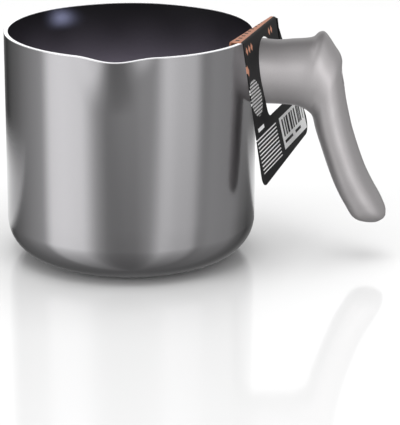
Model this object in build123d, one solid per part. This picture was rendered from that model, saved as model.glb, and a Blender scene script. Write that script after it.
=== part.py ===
from build123d import *
import os
from math import cos, degrees, hypot, pi, radians, sin, sqrt, tan

# A milk pan with one pouring lip, a hooked handle and a folded card tag on the handle's neck.
# Millimetres and degrees. The origin is the centre of the base's underside, +Z is up,
# +X runs out along the handle and the pouring lip points along -Y.

# Vessel
pan_diameter = 120.0
pan_height = 109.2
wall_thickness = 2.0
base_thickness = 4.0
base_corner_radius = 17.7
rim_rounding = 0.4

# Coats on the vessel
lacquer_thickness = 0.12
lining_thickness = 0.12
rim_bare_height = 0.5
lacquer_foot_height = 0.8

# Pouring lip
lip_reach = 7.2
lip_height = 27.0
lip_rim_half_angle = 15.5
lip_sector_half_angle = 17.5
lip_flare_power = 1.8
lip_foot_width_share = 0.6
lip_section_shares = (0.0, 0.2, 0.4, 0.6, 0.8, 1.0)
lip_point_steps = 8

# Steel disc pressed into the base
disc_diameter = 76.0
disc_thickness = 0.9
disc_hole_diameter = 3.8
disc_hole_pitch = 6.6
disc_inner_ring_radius = 9.0
disc_edge_margin = 3.0

# Bracket fixed to the wall
foot_thickness = 1.5
foot_gap = 0.8
boss_length = 11.6
boss_width = 12.0
boss_height = 18.0
boss_corner_radius = 1.5

# Flame guard between the wall and the handle
guard_depth = 2.0
guard_sheet = 0.6
guard_inset = 0.4
guard_boss_gap = 0.2

# Handle
handle_reach = 63.5
neck_drop = 3.0
neck_height = 31.2
grip_thickness = 16.5
grip_depth = 25.0
grip_end_height = 18.0
section_roundness = 2.3
section_points = 16
socket_gap = 0.2
socket_floor_gap = 0.4

# Screw and washers
screw_diameter = 5.0
screw_length = 22.0
screw_head_diameter = 9.4
screw_head_height = 3.2
screw_head_crown = 1.2
recess_width = 1.1
recess_span = 5.4
recess_depth = 2.0
screw_bore_diameter = 5.6
counterbore_diameter = 11.0
screw_tip_gap = 4.0
thread_end_gap = 0.9
washer_outer_diameter = 10.0
washer_inner_diameter = 5.3
plain_washer_thickness = 1.0
spring_washer_outer_diameter = 8.8
spring_washer_thickness = 1.3
spring_washer_slit = 0.8
spring_washer_slit_angle = 25.0

# Card tag on the neck
card_thickness = 0.5
card_yaw = 11.5
card_lean = 13.5
card_wall_gap = 0.45
card_rim_gap = 1.4
card_offset = 11.2
card_top_width = 57.5
card_bottom_width = 90.7
card_height = 63.2
card_bottom_slope = 2.6
card_near_corner_radius = 4.0
card_far_corner_radius = 7.0
spine_near_width = 6.2
spine_far_width = 2.4
flap_drop = 6.0
flap_width = 25.0
hole_top_gap = 0.47
hole_side_gap = 5.6
hole_bottom_gap = 2.4
hole_corner_radius = 3.5
hole_straight_share = 0.4

# Every cut runs past the face it opens by this much
overrun = 2.0

# Faces of the wall and of the lip that lie this close are one seam
seam_tolerance = 0.001

# Each row is one section of the handle, from its root to its end: the inner outline's reach
# and level, the outer outline's reach and level, and the depth. A reach is a share of the
# handle's reach (less the grip's thickness for the inner outline). A level is a share of the
# neck's height above the neck's underside, and of the grip's drop below it.
handle_section_shares = (
    (0.213, 0.000, 0.157, 0.980, 0.92),
    (0.351, -0.004, 0.283, 1.003, 0.93),
    (0.436, -0.016, 0.371, 1.018, 0.94),
    (0.498, -0.037, 0.427, 1.044, 0.96),
    (0.540, -0.061, 0.470, 1.118, 0.97),
    (0.566, -0.082, 0.517, 1.108, 0.97),
    (0.581, -0.104, 0.585, 0.915, 0.97),
    (0.589, -0.125, 0.636, 0.740, 0.97),
    (0.598, -0.153, 0.650, 0.523, 0.97),
    (0.606, -0.184, 0.662, 0.308, 0.97),
    (0.619, -0.221, 0.679, 0.086, 0.98),
    (0.638, -0.270, 0.702, -0.072, 0.98),
    (0.666, -0.337, 0.725, -0.177, 0.99),
    (0.702, -0.425, 0.755, -0.286, 1.00),
    (0.749, -0.535, 0.794, -0.414, 1.00),
    (0.806, -0.656, 0.841, -0.547, 1.00),
    (0.874, -0.774, 0.898, -0.672, 0.98),
    (0.940, -0.870, 0.954, -0.781, 0.96),
    (0.987, -0.937, 0.994, -0.880, 0.90),
    (1.034, -0.975, 1.000, -0.947, 0.72),
    (1.094, -0.995, 0.960, -0.992, 0.44),
)
handle_root_depth_share = 0.92
neck_section_count = 11

# Derived sizes
pan_radius = pan_diameter / 2
core_radius = pan_radius - lacquer_thickness
lip_base = pan_height - lip_height
neck_top = pan_height - neck_drop
neck_underside = neck_top - neck_height
neck_axis = neck_top - neck_height / 2
neck_depth = grip_depth * handle_root_depth_share
foot_face = core_radius + foot_thickness
root_face = pan_radius + guard_depth
boss_end = foot_face + boss_length
screw_tip = foot_face + screw_tip_gap
spring_washer_face = screw_tip + screw_length
plain_washer_face = spring_washer_face - spring_washer_thickness
screw_seat = plain_washer_face - plain_washer_thickness
crease_distance = pan_radius + card_wall_gap
crease_height = pan_height + card_rim_gap


def closed(*edges):
    """A face bounded by these edges."""
    return make_face(list(edges))


def vessel_profile(radius, corner, floor, top):
    """Half of the vessel's section on the XZ plane, with a rounded base corner."""
    centre_x = radius - corner
    centre_z = floor + corner
    lean = sqrt(0.5) * corner
    return closed(
        Line((0, 0, floor), (centre_x, 0, floor)),
        ThreePointArc((centre_x, 0, floor), (centre_x + lean, 0, centre_z - lean), (radius, 0, centre_z)),
        Line((radius, 0, centre_z), (radius, 0, top)),
        Line((radius, 0, top), (0, 0, top)),
        Line((0, 0, top), (0, 0, floor)),
    )


def lip_bulge(angle, rise):
    """How far the lip stands out of the round wall at this angle, and its slope."""
    width_share = lip_foot_width_share + (1 - lip_foot_width_share) * rise
    half_angle = radians(lip_rim_half_angle) * width_share
    if abs(angle) >= half_angle:
        return 0, 0
    crest = lip_reach * rise**lip_flare_power
    turn = pi * angle / (2 * half_angle)
    return crest * cos(turn) ** 2, -crest * sin(2 * turn) * pi / (2 * half_angle)


def lip_section(inset, rise):
    """The sector of the vessel that holds the lip, at this share of the lip's height."""
    height = lip_base + lip_height * rise
    sector = radians(lip_sector_half_angle)
    points = []
    for step in range(-lip_point_steps, lip_point_steps + 1):
        angle = sector * step / lip_point_steps
        bulge, slope = lip_bulge(angle, rise)
        outward = (sin(angle), -cos(angle))
        along = (cos(angle), sin(angle))
        reach = pan_radius + bulge
        length = hypot(reach, slope)
        normal = [(reach * out - slope * side) / length for out, side in zip(outward, along)]
        place = [reach * out - inset * square for out, square in zip(outward, normal)]
        points.append((*place, height))
    tangents = ((cos(sector), -sin(sector), 0), (cos(sector), sin(sector), 0))
    return closed(
        Spline(*points, tangents=tangents),
        Line(points[-1], (0, 0, height)),
        Line((0, 0, height), points[0]),
    )


def sector_block():
    """A wedge that takes the lip's sector out of the round wall."""
    far = pan_diameter
    half_width = far * tan(radians(lip_sector_half_angle))
    corners = [(0, 0), (half_width, -far), (-half_width, -far)]
    outline = Polyline(*[(x, y, lip_base) for x, y in corners], close=True)
    return extrude(make_face(outline), lip_height + overrun, dir=(0, 0, 1))


def vessel_form(inset, floor):
    """The solid outer form of the pan, moved in by inset, with its floor at this height."""
    profile = vessel_profile(pan_radius - inset, base_corner_radius - inset, floor, pan_height)
    round_form = revolve(profile, Axis.Z) - sector_block()
    bulge = loft([lip_section(inset, rise) for rise in lip_section_shares])
    return round_form.fuse(bulge, tol=seam_tolerance)


def slab(low, high):
    """A block wider than the pan between two heights."""
    width = 2 * pan_diameter
    return Pos(0, 0, (low + high) / 2) * Box(width, width, high - low)


def rounded_bar(start, length, width, height, corner):
    """A bar along X on the neck's axis, with rounded long edges."""
    section = RectangleRounded(width, height, corner)
    return extrude(Plane((start, 0, neck_axis), x_dir=(0, 1, 0), z_dir=(1, 0, 0)) * section, length)


def rod(start, end, diameter):
    """A cylinder along X on the neck's axis."""
    turned = Pos((start + end) / 2, 0, neck_axis) * Rot(0, 90, 0)
    return turned * Cylinder(diameter / 2, end - start)


def induction_disc():
    """The steel disc, with rings of holes that the base's aluminium fills."""
    disc = Pos(0, 0, disc_thickness / 2) * Cylinder(disc_diameter / 2, disc_thickness)
    hole = Cylinder(disc_hole_diameter / 2, 2 * disc_thickness + overrun)
    ring = disc_inner_ring_radius
    holes = []
    while ring + disc_hole_diameter / 2 + disc_edge_margin <= disc_diameter / 2:
        count = int(2 * pi * ring / disc_hole_pitch)
        holes += [Rot(0, 0, 360 * index / count) * Pos(ring, 0, 0) * hole for index in range(count)]
        ring += disc_hole_pitch
    return disc - holes


def section_face(centre, along, half_height, half_depth):
    """A rounded oval section that spans half_height along one way and half_depth along Y."""
    power = 2 / section_roundness
    points = []
    for index in range(section_points):
        angle = 2 * pi * index / section_points
        across = abs(cos(angle)) ** power * (1 if cos(angle) >= 0 else -1) * half_height
        deep = abs(sin(angle)) ** power * (1 if sin(angle) >= 0 else -1) * half_depth
        points.append((centre[0] + across * along[0], deep, centre[1] + across * along[1]))
    return closed(Spline(*points, periodic=True))


def root_oval(inset, end):
    """An oval bar from inside the vessel to the face at end, smaller than the handle's root by inset."""
    start = pan_radius - neck_depth / 2
    outline = section_face((start, neck_axis), (0, 1), neck_height / 2 - inset, neck_depth / 2 - inset)
    return extrude(outline, end - start, dir=(1, 0, 0))


def wall_core(radius):
    """A tall cylinder on the vessel's axis, to shape what sits on the wall."""
    return Pos(0, 0, pan_height / 2) * Cylinder(radius, 2 * pan_height)


def foot_block(end):
    """The foot's outline as a bar from inside the vessel to the face at end."""
    return root_oval(guard_inset + guard_sheet + foot_gap, end)


def bracket():
    """The foot on the bare wall and the boss that the handle's socket goes over."""
    foot = foot_block(foot_face) - wall_core(core_radius)
    boss = rounded_bar(foot_face, boss_length, boss_width, boss_height, boss_corner_radius)
    thread = rod(screw_tip - thread_end_gap, boss_end + overrun, screw_diameter)
    return foot + boss - thread


def flame_guard():
    """The saddle cup that keeps the flame off the handle's root."""
    cup = root_oval(guard_inset, root_face)
    cup -= root_oval(guard_inset + guard_sheet, root_face - guard_sheet)
    cup -= wall_core(pan_radius)
    opening_width = boss_width + 2 * guard_boss_gap
    opening_height = boss_height + 2 * guard_boss_gap
    return cup - rounded_bar(
        pan_radius - overrun,
        guard_depth + 2 * overrun,
        opening_width,
        opening_height,
        boss_corner_radius + guard_boss_gap,
    )


def handle_level(share):
    """Height of a level share: in the neck's height above its underside, in the grip's drop below."""
    if share >= 0:
        return neck_underside + share * neck_height
    return neck_underside + share * (neck_underside - grip_end_height)


def handle_sections():
    """The handle's oval sections, from the root to the end of the grip."""
    root_centre = (root_face, neck_axis)
    faces = [section_face(root_centre, (0, 1), neck_height / 2, neck_depth / 2)]
    for inner_reach, inner_level, outer_reach, outer_level, depth in handle_section_shares:
        inner = (pan_radius + inner_reach * (handle_reach - grip_thickness), handle_level(inner_level))
        outer = (pan_radius + outer_reach * handle_reach, handle_level(outer_level))
        span = hypot(outer[0] - inner[0], outer[1] - inner[1])
        along = ((outer[0] - inner[0]) / span, (outer[1] - inner[1]) / span)
        centre = ((outer[0] + inner[0]) / 2, (outer[1] + inner[1]) / 2)
        faces.append(section_face(centre, along, span / 2, grip_depth / 2 * depth))
    return faces


def handle_grip():
    """The moulded handle, with its socket for the boss, its bore and its counterbore."""
    sections = handle_sections()
    grip = loft(sections[:neck_section_count], ruled=True)
    grip += loft(sections[neck_section_count - 1 :], ruled=True)
    grip -= rounded_bar(
        root_face - overrun,
        boss_end + socket_floor_gap + overrun - root_face,
        boss_width + 2 * socket_gap,
        boss_height + 2 * socket_gap,
        boss_corner_radius + socket_gap,
    )
    grip -= rod(root_face, screw_seat + overrun, screw_bore_diameter)
    return grip - rod(screw_seat, pan_radius + handle_reach + overrun, counterbore_diameter)


def handle_screw():
    """The screw, with a crowned head and a cross recess."""
    head_radius = screw_head_diameter / 2
    side_height = screw_head_height - screw_head_crown
    dome_middle = (head_radius * sqrt(0.5), side_height + screw_head_crown * sqrt(0.5))
    profile = closed(
        Line((0, 0, -screw_length), (screw_diameter / 2, 0, -screw_length)),
        Line((screw_diameter / 2, 0, -screw_length), (screw_diameter / 2, 0, 0)),
        Line((screw_diameter / 2, 0, 0), (head_radius, 0, 0)),
        Line((head_radius, 0, 0), (head_radius, 0, side_height)),
        ThreePointArc(
            (head_radius, 0, side_height),
            (dome_middle[0], 0, dome_middle[1]),
            (0, 0, screw_head_height),
        ),
        Line((0, 0, screw_head_height), (0, 0, -screw_length)),
    )
    screw = revolve(profile, Axis.Z)
    slot_centre = screw_head_height - recess_depth / 2 + overrun / 2
    for turn in (0, 90):
        slot = Box(recess_span, recess_width, recess_depth + overrun)
        screw -= Pos(0, 0, slot_centre) * Rot(0, 0, turn) * slot
    return Pos(spring_washer_face, 0, neck_axis) * Rot(0, 90, 0) * screw


def plain_washer():
    """The flat washer on the counterbore's floor."""
    ring = rod(screw_seat, plain_washer_face, washer_outer_diameter)
    return ring - rod(screw_seat - overrun, plain_washer_face + overrun, washer_inner_diameter)


def spring_washer():
    """The split washer under the screw's head."""
    ring = rod(plain_washer_face, spring_washer_face, spring_washer_outer_diameter)
    ring -= rod(plain_washer_face - overrun, spring_washer_face + overrun, washer_inner_diameter)
    slit_reach = spring_washer_outer_diameter / 2
    slit = Box(2 * spring_washer_outer_diameter, spring_washer_slit, slit_reach)
    slit_centre = (plain_washer_face + spring_washer_face) / 2
    slit_height = neck_axis + screw_diameter / 4 + slit_reach / 2
    turned = Pos(slit_centre, 0, slit_height) * Rot(0, 0, spring_washer_slit_angle)
    return ring - turned * slit


def card_frames():
    """Planes of the tag: the leaning panel's, and the level one of its spine. X runs along the fold."""
    yaw = radians(card_yaw)
    lean = radians(card_lean)
    along = (sin(yaw), cos(yaw), 0)
    out = (cos(yaw), -sin(yaw), 0)
    origin = (out[0] * crease_distance, out[1] * crease_distance, crease_height)
    facing = (out[0] * cos(lean), out[1] * cos(lean), sin(lean))
    return Plane(origin, x_dir=along, z_dir=facing), Plane(origin, x_dir=along, z_dir=(0, 0, 1))


def card_hole():
    """The arched hole for the neck, on the panel's plane."""
    lean = radians(card_lean)
    top = -(crease_height - neck_top - hole_top_gap) / cos(lean)
    bottom = -(crease_height - neck_underside + hole_bottom_gap) / cos(lean)
    crest_offset = (crease_distance + (crease_height - neck_axis) * tan(lean)) * tan(radians(card_yaw))
    half_width = neck_depth / 2 + hole_side_gap
    shoulder = bottom + (top - bottom) * hole_straight_share
    arch = EllipticalCenterArc((crest_offset, shoulder), half_width, top - shoulder, arc_size=degrees(pi))
    left = crest_offset - half_width
    right = crest_offset + half_width
    lower = FilletPolyline(
        (left, shoulder),
        (left, bottom),
        (right, bottom),
        (right, shoulder),
        radius=hole_corner_radius,
    )
    return make_face([arch, lower])


def tag_card():
    """The folded card: a leaning panel with its hole, a spine over the rim and a flap inside it."""
    panel_plane, spine_plane = card_frames()
    half_top = card_top_width / 2
    half_bottom = card_bottom_width / 2
    slope = half_bottom * tan(radians(card_bottom_slope))
    near_top = (card_offset - half_top, card_thickness)
    far_top = (card_offset + half_top, card_thickness)
    near_bottom = (card_offset - half_bottom, -card_height - slope)
    far_bottom = (card_offset + half_bottom, -card_height + slope)
    sides = FilletPolyline(
        near_top,
        near_bottom,
        far_bottom,
        far_top,
        radius=(card_near_corner_radius, card_far_corner_radius),
    )
    outline = make_face([sides, Line(far_top, near_top)]) - card_hole()
    panel = extrude(panel_plane * outline, card_thickness / 2, both=True)
    panel -= Pos(0, 0, crease_height + card_thickness / 2 + overrun / 2) * Box(
        2 * pan_diameter, 2 * pan_diameter, overrun
    )

    start = near_top[0]
    end = far_top[0]
    half_card = card_thickness / 2
    taper = (spine_near_width - spine_far_width) / card_top_width
    spine_outline = Polyline(
        (start, 0),
        (end, 0),
        (end, spine_far_width + half_card),
        (start, spine_near_width + half_card),
        close=True,
    )
    flap_end = start + flap_width
    flap_outline = Polyline(
        (start, spine_near_width - half_card),
        (flap_end, spine_near_width - flap_width * taper - half_card),
        (flap_end, spine_near_width - flap_width * taper + half_card),
        (start, spine_near_width + half_card),
        close=True,
    )
    spine = extrude(spine_plane * make_face(spine_outline), card_thickness / 2, both=True)
    flap = extrude(spine_plane * make_face(flap_outline), -flap_drop)
    return panel + spine + flap


def write(name, shape):
    """Write one sub-part and print what it is."""
    shape.label = name
    export_step(shape, f"parts/{name}.step")
    print(name, "solids", len(shape.solids()), "volume", round(shape.volume, 1))


def main():
    os.makedirs("parts", exist_ok=True)
    outer = vessel_form(0, 0)
    core_outer = vessel_form(lacquer_thickness, lacquer_thickness)
    lining_floor = base_thickness - lining_thickness
    lining_outer = vessel_form(wall_thickness - lining_thickness, lining_floor)
    inner = vessel_form(wall_thickness, base_thickness)
    coat_top = pan_height - rim_bare_height
    coated_heights = slab(lacquer_foot_height, coat_top)

    lined = lining_outer & slab(0, coat_top)
    disc = induction_disc()
    body = core_outer + (outer - coated_heights) - (lined + inner) - disc
    top_edges = body.edges().filter_by_position(Axis.Z, pan_height, pan_height)
    body = fillet(top_edges, rim_rounding)

    write("pan_body", body)
    write("outer_lacquer", (outer & coated_heights) - core_outer - foot_block(foot_face))
    write("nonstick_lining", lined - inner)
    write("induction_disc", disc)
    write("handle_bracket", bracket())
    write("flame_guard", flame_guard())
    write("handle_grip", handle_grip())
    write("handle_screw", handle_screw())
    write("plain_washer", plain_washer())
    write("spring_washer", spring_washer())
    write("tag_card", tag_card())


main()
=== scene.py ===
# %% [markdown]
# # A milk pan, dressed around its CAD frame
# The pan is a cast aluminium vessel with a dark metallic lacquer outside, a black non-stick lining
# inside, a moulded soft-touch handle and a folded card tag on the handle's neck. The CAD model
# gives each piece its real size and place. Here every visible surface gets its smooth final shape
# and its finish. Everything is in metres, in the CAD model's own frame: +X runs out along the
# handle, the pouring lip points along -Y, and the base stands on z = 0.

# %% Load the frame
from math import atan2, cos, pi, radians, sin, sqrt, tan

import bmesh
import bpy
from mathutils import Matrix, Vector


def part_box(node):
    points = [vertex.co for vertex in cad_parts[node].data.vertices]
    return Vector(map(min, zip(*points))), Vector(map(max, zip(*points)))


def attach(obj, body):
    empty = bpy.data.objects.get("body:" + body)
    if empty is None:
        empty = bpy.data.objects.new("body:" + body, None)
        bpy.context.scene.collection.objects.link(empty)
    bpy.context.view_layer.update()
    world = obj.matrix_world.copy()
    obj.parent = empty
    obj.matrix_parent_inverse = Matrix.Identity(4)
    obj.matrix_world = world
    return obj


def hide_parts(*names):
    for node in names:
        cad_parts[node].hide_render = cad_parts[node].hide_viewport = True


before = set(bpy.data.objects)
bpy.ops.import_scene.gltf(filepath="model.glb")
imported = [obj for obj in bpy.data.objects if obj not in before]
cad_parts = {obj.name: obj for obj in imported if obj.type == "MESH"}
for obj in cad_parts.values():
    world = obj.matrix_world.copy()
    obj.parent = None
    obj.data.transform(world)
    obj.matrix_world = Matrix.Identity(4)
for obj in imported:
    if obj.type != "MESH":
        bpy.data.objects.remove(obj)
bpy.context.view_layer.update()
MM = 0.001
print("nodes", sorted(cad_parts))

# %% [markdown]
# ## The camera
# A long lens a metre away looks slightly down on the pan, with the handle to the right. The pan's
# outline in the photograph fixes the lens, the height and the distance. The handle points a few
# degrees towards the camera, so the camera stands a few degrees round from the pan's own front. It
# was then raised by a third of a degree, so that the rim fits better.

# %% Place the camera
camera_azimuth = radians(5.3)
camera_elevation = radians(18.0)
camera_roll = radians(0.263)
camera_distance = 1.0213
camera_target = Vector((33.34, 3.09, 17.67)) * MM
focal_pixels = 2091.8
image_height = 425
sensor_width = 36.0

camera_right = Vector((cos(camera_azimuth), sin(camera_azimuth), 0))
camera_back = Vector(
    (
        sin(camera_azimuth) * cos(camera_elevation),
        -cos(camera_azimuth) * cos(camera_elevation),
        sin(camera_elevation),
    )
)
camera_up = camera_back.cross(camera_right)
turned_right = camera_right * cos(camera_roll) + camera_up * sin(camera_roll)
turned_up = camera_up * cos(camera_roll) - camera_right * sin(camera_roll)

camera_data = bpy.data.cameras.new("camera")
camera_data.sensor_width = sensor_width
camera_data.lens = focal_pixels / image_height * sensor_width
camera = bpy.data.objects.new("camera", camera_data)
turn = Matrix((turned_right, turned_up, camera_back)).transposed().to_4x4()
camera.matrix_world = Matrix.Translation(camera_target + camera_back * camera_distance) @ turn
bpy.context.scene.collection.objects.link(camera)
bpy.context.scene.camera = camera
bpy.context.scene.view_settings.view_transform = "Standard"
print("lens", round(camera_data.lens, 1), "mm")

# %% [markdown]
# ## Helpers for materials
# A colour is written as the sRGB hex code that the eye knows and turned into Blender's linear
# values. One function adds a node: it takes the node's kind, its inputs and its settings, and an
# input that is given another node's output becomes a link.

# %% Colours and nodes
def srgb(code):
    """Linear colour of a hex code such as 'c8c8ca'."""
    channels = [int(code[start : start + 2], 16) / 255 for start in (0, 2, 4)]
    linear = []
    for value in channels:
        linear.append(value / 12.92 if value <= 0.04045 else ((value + 0.055) / 1.055) ** 2.4)
    return (*linear, 1.0)


def add_node(tree, kind, inputs=None, **settings):
    """Add a node to a tree, with its settings and its inputs, by name or by number."""
    node = tree.nodes.new(kind)
    for name, value in settings.items():
        setattr(node, name, value)
    for name, value in (inputs or {}).items():
        if isinstance(value, bpy.types.NodeSocket):
            tree.links.new(value, node.inputs[name])
        else:
            node.inputs[name].default_value = value
    return node


def new_material(name, inputs):
    """A material with a Principled shader, and its tree and shader to build on."""
    material = bpy.data.materials.new(name)
    material.use_nodes = True
    tree = material.node_tree
    shader = tree.nodes["Principled BSDF"]
    for key, value in inputs.items():
        shader.inputs[key].default_value = value
    return material, tree, shader


# %% [markdown]
# ## Helpers for meshes
# Most pieces here are skins over a row of rings: a ring is a closed line of points, and the skin
# joins each ring to the next with quads. A solid thing is closed at its ends, and a thin coat is
# closed by joining its last ring back to its first.

# %% Skins over rings
smooth_limit = radians(32)


def mesh_object(name, mesh):
    """Put a finished mesh into the scene, with sharp edges only where it turns sharply."""
    for polygon in mesh.polygons:
        polygon.use_smooth = True
    mesh.set_sharp_from_angle(angle=smooth_limit)
    item = bpy.data.objects.new(name, mesh)
    bpy.context.scene.collection.objects.link(item)
    return item


def skin(name, rings, loop=False):
    """Join rings of as many points each, closed at the ends or round in a loop."""
    size = len(rings[0])
    points = [point for ring in rings for point in ring]
    faces = []
    pairs = len(rings) if loop else len(rings) - 1
    for row in range(pairs):
        here = row * size
        there = ((row + 1) % len(rings)) * size
        for column in range(size):
            after = (column + 1) % size
            faces.append((here + column, here + after, there + after, there + column))
    if not loop:
        faces.append(tuple(reversed(range(size))))
        faces.append(tuple(range(len(points) - size, len(points))))
    mesh = bpy.data.meshes.new(name)
    mesh.from_pydata(points, [], faces)
    bm = bmesh.new()
    bm.from_mesh(mesh)
    bmesh.ops.remove_doubles(bm, verts=bm.verts, dist=1e-7)
    bmesh.ops.recalc_face_normals(bm, faces=bm.faces)
    bm.to_mesh(mesh)
    bm.free()
    return mesh_object(name, mesh)


def dress(item, body, materials, replaced=()):
    """Give a piece its materials, attach it to the body it moves with, and hide the CAD parts it
    replaces.
    """
    item.data.materials.clear()
    for material in materials:
        item.data.materials.append(material)
    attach(item, body)
    if replaced:
        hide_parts(*replaced)
    print(item.name, "faces", len(item.data.polygons))


# %% [markdown]
# ## The vessel's shape
# The vessel is turned: every level is a circle, but for the pouring lip, which bulges out of the
# round wall near the rim. One function gives the ring at any level, moved in by any thickness, so
# the metal, the lacquer and the lining all come from it and always fit each other. The columns lie
# closer together over the lip, where the wall curves most.

# %% Rings of the vessel
pan_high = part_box("pan_body")[1]
pan_radius = pan_high.x
pan_height = pan_high.z
wall_thickness = 2.0 * MM
base_thickness = 4.0 * MM
corner_radius = 17.7 * MM
coat_thickness = 0.12 * MM
rim_rounding = 0.25 * MM
rim_bare_height = 0.25 * MM
foot_bare_height = 0.8 * MM
lip_reach = 1.8 * MM
lip_dip = 1.7 * MM
lip_height = 27.0 * MM
lip_half_angle = radians(18.5)
lip_sector = radians(20)
lip_flare_power = 1.8
lip_foot_share = 0.6

sector_columns = 84
round_columns = 228
rows_below_lip = 6
rows_over_lip = 30
outer_corner_rows = 20
inner_corner_rows = 16
foot_rows = 5
rim_rows = 6
column_angles = [
    -lip_sector + 2 * lip_sector * step / sector_columns for step in range(sector_columns)
]
column_angles += [
    lip_sector + (2 * pi - 2 * lip_sector) * step / round_columns for step in range(round_columns)
]


def lip_form(angle, height):
    """How far the lip stands out, how fast that changes round the pan, and how far it dips."""
    rise = max(0.0, min(1.0, (height - pan_height + lip_height) / lip_height))
    half_angle = lip_half_angle * (lip_foot_share + (1 - lip_foot_share) * rise)
    angle = (angle + pi) % (2 * pi) - pi
    if abs(angle) >= half_angle:
        return 0.0, 0.0, 0.0
    crest = lip_reach * rise**lip_flare_power
    turn_share = pi * angle / (2 * half_angle)
    share = cos(turn_share) ** 2
    slope = -crest * sin(2 * turn_share) * pi / (2 * half_angle)
    return crest * share, slope, lip_dip * share * rise**2


def vessel_ring(inset, height):
    """The ring at this level, moved in from the outer surface by inset, square to the wall."""
    ring = []
    for angle in column_angles:
        bulge, slope, dip = lip_form(angle, height)
        outward = Vector((sin(angle), -cos(angle), 0))
        along = Vector((cos(angle), sin(angle), 0))
        reach = pan_radius + bulge
        square = (outward * reach - along * slope).normalized()
        ring.append(outward * reach - square * inset + Vector((0, 0, height - dip)))
    return ring


def arc_rows(centre_inset, centre_height, radius, start, end, steps):
    """Insets and heights along an arc in the wall's section. Angle 0 points outwards."""
    angles = [start + (end - start) * step / steps for step in range(steps + 1)]
    return [
        (centre_inset - radius * cos(angle), centre_height + radius * sin(angle))
        for angle in angles
    ]


def wall_heights(low, high):
    """Levels up the wall, wide apart below the lip and close together over it."""
    lip_foot = pan_height - lip_height
    below = [low + (lip_foot - low) * step / rows_below_lip for step in range(rows_below_lip)]
    above = [
        lip_foot + (high - lip_foot) * step / rows_over_lip for step in range(rows_over_lip + 1)
    ]
    return below + above


print("columns", len(column_angles))
print("radius", round(pan_radius / MM, 2), "height", round(pan_height / MM, 2))

# %% [markdown]
# ## The outer lacquer
# A dark silver coat is sprayed over the outside and stops just under the bare rim. It is a thin
# closed shell of even thickness, with the base's round corner as a quarter circle.

# %% Make the outer coat
def coat_rows(inset):
    """The outer coat's rows from its foot to its top edge, moved in by inset."""
    radius = corner_radius - inset
    drop = corner_radius - foot_bare_height
    start = -atan2(drop, sqrt(radius**2 - drop**2))
    corner = arc_rows(corner_radius, corner_radius, radius, start, 0.0, outer_corner_rows)
    wall = wall_heights(corner_radius, pan_height - rim_bare_height)[1:]
    return corner + [(inset, height) for height in wall]


outer_rows = coat_rows(0.0) + list(reversed(coat_rows(coat_thickness)))
outer_rings = [vessel_ring(inset, height) for inset, height in outer_rows]
lacquer_coat = skin("lacquer_coat", outer_rings, loop=True)

# %% [markdown]
# ## The aluminium vessel
# Under the coats is one casting. Only its rim and its underside show, but its whole skin is made,
# with a shallow seat for each coat and a round recess in the base for the steel disc.

# %% Make the vessel
disc_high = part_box("induction_disc")[1]
recess_radius = disc_high.x
recess_height = disc_high.z
lining_top = pan_height - rim_bare_height


def vessel_rows():
    """Rows of the casting's section: underside, outer wall, rim, inner wall and floor."""
    rows = [(pan_radius, recess_height), (pan_radius - recess_radius, recess_height)]
    rows += [(pan_radius - recess_radius, 0.0)]
    drop = corner_radius - foot_bare_height
    foot_turn = -atan2(drop, sqrt(corner_radius**2 - drop**2))
    rows += arc_rows(corner_radius, corner_radius, corner_radius, -pi / 2, foot_turn, foot_rows)
    rows += coat_rows(coat_thickness)
    rows += [(0.0, lining_top)]
    rim_level = pan_height - rim_rounding
    rows += arc_rows(rim_rounding, rim_level, rim_rounding, 0.0, pi / 2, rim_rows)
    inner_rim = wall_thickness - rim_rounding
    rows += arc_rows(inner_rim, rim_level, -rim_rounding, -pi / 2, 0.0, rim_rows)
    rows += [(wall_thickness, lining_top)]
    seat = wall_thickness - coat_thickness
    inner_wall = wall_heights(corner_radius + wall_thickness, lining_top)
    rows += [(seat, height) for height in reversed(inner_wall)]
    inner_radius = corner_radius - seat
    centre = base_thickness + corner_radius - wall_thickness
    rows += arc_rows(corner_radius, centre, inner_radius, 0.0, -pi / 2, inner_corner_rows)[1:]
    return rows + [(pan_radius, base_thickness - coat_thickness)]


vessel = skin("vessel", [vessel_ring(inset, height) for inset, height in vessel_rows()])

# %% [markdown]
# ## The non-stick lining
# The black lining covers the inside from just under the rim to the floor. It is a thin shell too.

# %% Make the lining
def lining_rows(inset, floor):
    """The lining's rows from its top edge to the middle of the floor."""
    radius = corner_radius - wall_thickness + (wall_thickness - inset)
    centre = base_thickness + corner_radius - wall_thickness
    rows = [(inset, height) for height in reversed(wall_heights(centre, lining_top))]
    rows += arc_rows(corner_radius, centre, radius, 0.0, -pi / 2, inner_corner_rows)[1:]
    return rows + [(pan_radius, floor)]


seat_rows = lining_rows(wall_thickness - coat_thickness, base_thickness - coat_thickness)
face_rows = lining_rows(wall_thickness, base_thickness)
lining_skin = seat_rows + list(reversed(face_rows))
lining = skin("lining", [vessel_ring(inset, height) for inset, height in lining_skin], loop=True)

# %% [markdown]
# ## The handle
# The handle is one moulding: a tall neck from the wall, a thumb rest on top, and a grip that hangs
# down and curves outwards. Each of its sections is a rounded oval that spans from the inner to the
# outer outline. A smooth curve through the sections gives the many in between.

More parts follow.
